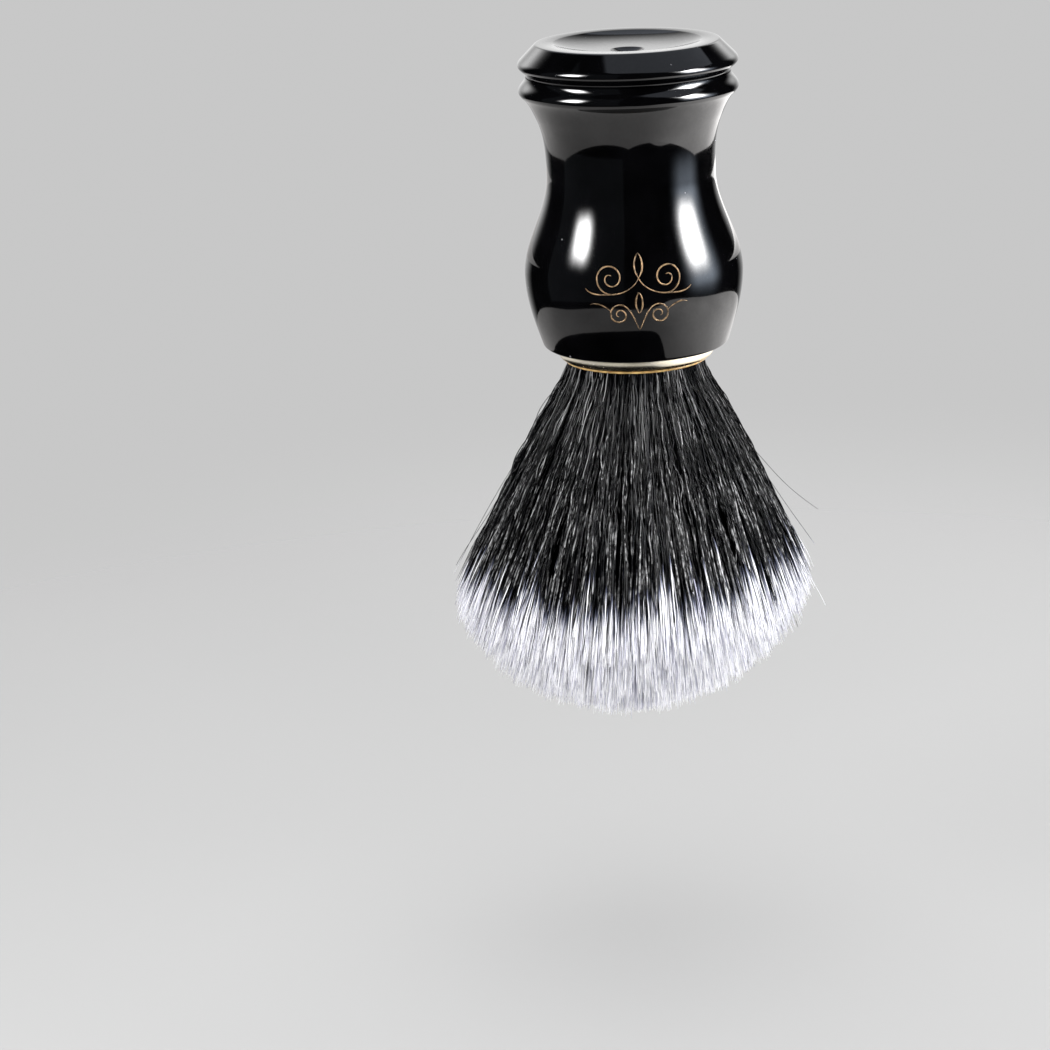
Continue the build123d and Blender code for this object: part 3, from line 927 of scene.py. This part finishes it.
def ring_glow(name, height, reach, dims, gains):
    """Level ring of pale light round the handle, seen from above in gloss only.

    reach gives its inner and outer radius at an angle. Its brightness lies between the two
    dims, and is multiplied by up to gains[2] from x = gains[0] to x = gains[1].
    """
    rings, turns = 6, 360
    verts = []
    for i in range(rings + 1):
        for j in range(turns):
            turn = 2 * math.pi * j / turns
            inner, outer = reach(turn)
            r = inner + (outer - inner) * i / rings
            verts.append((r * math.cos(turn), r * math.sin(turn), height))
    card = new_mesh(name, verts, net(rings + 1, turns))
    mat, _, add, _ = material(name)
    place = add("TexCoord").outputs["Object"]
    cloud = add("TexNoise", {"Vector": place, "Scale": 18.0}).outputs["Fac"]
    base = add("MapRange", {"Value": cloud, "From Min": 0.3, "From Max": 0.7,
                            "To Min": dims[0], "To Max": dims[1]}).outputs[0]
    across = add("SeparateXYZ", {0: place}).outputs["X"]
    gain = add("MapRange", {"Value": across, "From Min": gains[0] * MM, "From Max": gains[1] * MM,
                            "To Min": 1.0, "To Max": gains[2]}, interpolation_type="SMOOTHSTEP")
    strength = add("Math", {0: base, 1: gain.outputs[0]}, operation="MULTIPLY")
    light = add("Emission", {"Color": (1.0, 0.98, 0.97, 1), "Strength": strength.outputs[0]})
    below = add("NewGeometry").outputs["Backfacing"]
    clear = add("BsdfTransparent").outputs[0]
    shown = add("MixShader", {"Fac": below, 1: light.outputs[0], 2: clear})
    output = mat.node_tree.nodes["Material Output"]
    mat.node_tree.links.new(shown.outputs[0], output.inputs["Surface"])
    card.data.materials.append(mat)
    gloss_only(card)


def neck_reach(turn):
    """Inner and outer radius of the pale light that the neck reflects: scalloped outside."""
    inner, outer, wider_behind, scallop_depth = 17.3, 44.0, 45.0, 8.5
    behind = math.sin((turn - FRONT) / 2) ** 2
    scallop = abs(math.sin(2 * (turn - FRONT) + 0.15)) ** 0.7
    return inner, outer + wider_behind * behind - scallop_depth * scallop


def bulb_reach(turn):
    """Inner and outer radius of the pale light under the bulb: wider towards the right."""
    inner, outer, widening, waviness = 44.0, 74.0, (18.0, 22.0), 2.0
    right = 0.5 + 0.5 * math.tanh((math.cos(turn) - 0.45) / 0.12)
    outer = outer + widening[1] * right + waviness * math.sin(5 * turn)
    return inner - widening[0] * right, outer


def gloss_only(card):
    """A stage piece that only reflections see."""
    card.visible_camera = card.visible_diffuse = card.visible_shadow = False
    card.visible_transmission = card.visible_volume_scatter = False
    card.data.materials[0].cycles.emission_sampling = "NONE"


def lights():
    """Softboxes round the brush and above it, and the glows that the room leaves in its gloss."""
    softbox("softbox_left", -61, 12, (0.27, 0.30), 12.5)
    softbox("softbox_right", 70, 5, (0.46, 0.36), 10.5)
    softbox("softbox_overhead", 0, 80, (0.5, 0.5), 1.6)
    softbox("softbox_behind", 170, 20, (0.4, 0.3), 5.0)
    glow("glow_left", patch((-91, -43), (6, 62)), 60.0, soft=0.42, power=1.8)
    glow("glow_right", patch((44, 102), (-15, 88)), 60.0, soft=0.42, power=1.8)
    glow("halo_right", patch((44, 108), (-26, 44), 1.1), 4.5, (0.74, 0.85, 1.0), soft=0.4)
    glow("glow_overhead", pane((-150, 28), (120, 40), (60, 42), (-32, 70)), 0.6,
         (0.82, 0.88, 1.0), 0.06)
    glow("glow_front_wall", patch((-105, -11), (-21, 64), 1.3), 0.06, (0.8, 0.9, 1.0), 0.03)
    glow("glow_behind_left", patch((-175, -125), (-5, 55)), 2.5)
    glow("glow_behind_right", patch((130, 175), (0, 50)), 2.5)
    ring_glow("glow_neck", 14.0, neck_reach, dims=(0.65, 0.95), gains=(5, 42, 3.0))
    ring_glow("glow_bulb", -20.0, bulb_reach, dims=(0.45, 0.75), gains=(8, 50, 3.0))


def camera():
    """The photograph's viewpoint: above the brush, a little to its left, slightly rolled."""
    forward = Vector((0, math.cos(CAMERA_PITCH), -math.sin(CAMERA_PITCH)))
    level, steep = Vector((1, 0, 0)), Vector((0, math.sin(CAMERA_PITCH), math.cos(CAMERA_PITCH)))
    right = level * math.cos(CAMERA_ROLL) + steep * math.sin(CAMERA_ROLL)
    up = steep * math.cos(CAMERA_ROLL) - level * math.sin(CAMERA_ROLL)
    place = -(CAMERA_DISTANCE * forward + CAMERA_LEFT * right + CAMERA_BELOW * up) * MM
    data = bpy.data.cameras.new("camera")
    data.lens, data.sensor_width = CAMERA_LENS, SENSOR_WIDTH
    data.clip_start, data.clip_end = 0.01, 20
    eye = bpy.data.objects.new("camera", data)
    turn = Matrix((right, up, -forward)).transposed().to_4x4()
    eye.matrix_world = Matrix.Translation(place) @ turn
    bpy.context.scene.collection.objects.link(eye)
    bpy.context.scene.camera = eye


# ---------------------------------------------------------------- put together

def dress_cad_nodes():
    """Gives every CAD node its material."""
    resin, gold, glue = resin_material(), gold_material(), glue_material()
    steel = plain_material("turned_steel", (0.30, 0.30, 0.32), (0.55, 0.55, 0.57), 260, 0.35,
                           metallic=1.0, stretch=(0.1, 0.1, 8))
    felt = plain_material("grey_felt", (0.22, 0.21, 0.21), (0.45, 0.44, 0.42), 2600, 0.9, 0.9)
    cup = plain_material("moulded_cup", (0.78, 0.77, 0.72), (0.88, 0.87, 0.83), 420, 0.5, 0.1)
    root = plain_material("cast_resin", (0.42, 0.29, 0.12), (0.70, 0.54, 0.28), 620, 0.25, 0.2)
    thread = plain_material("waxed_thread", (0.58, 0.54, 0.46), (0.82, 0.79, 0.72), 3200, 0.7, 0.8)
    dyed = plain_material("dyed_form", (0.01, 0.01, 0.012), (0.03, 0.03, 0.034), 900, 0.5)
    finish = {
        "handle_body": resin, "end_cap": resin, "collar_ring": gold,
        "socket_adhesive": glue, "cap_glue_ring": glue, "balance_weight": steel,
        "weight_pad": felt, "knot_cup": cup, "knot_resin_plug": root,
        "root_binding_thread": thread, "bristle_shafts": dyed, "bristle_tips": dyed,
    }
    for name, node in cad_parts.items():
        node.data.materials.clear()
        node.data.materials.append(finish[name])
    return resin, glue


resin, glue = dress_cad_nodes()
handle_body(resin)
end_cap(resin)
filament = filament_material()
bristles(filament)
stray_hairs(filament)
squeezed_glue(glue)
flourish(flourish_material())
floor()
background()
lights()
camera()
bpy.context.scene.view_settings.view_transform = "Standard"
bpy.context.scene.cycles.use_denoising = True
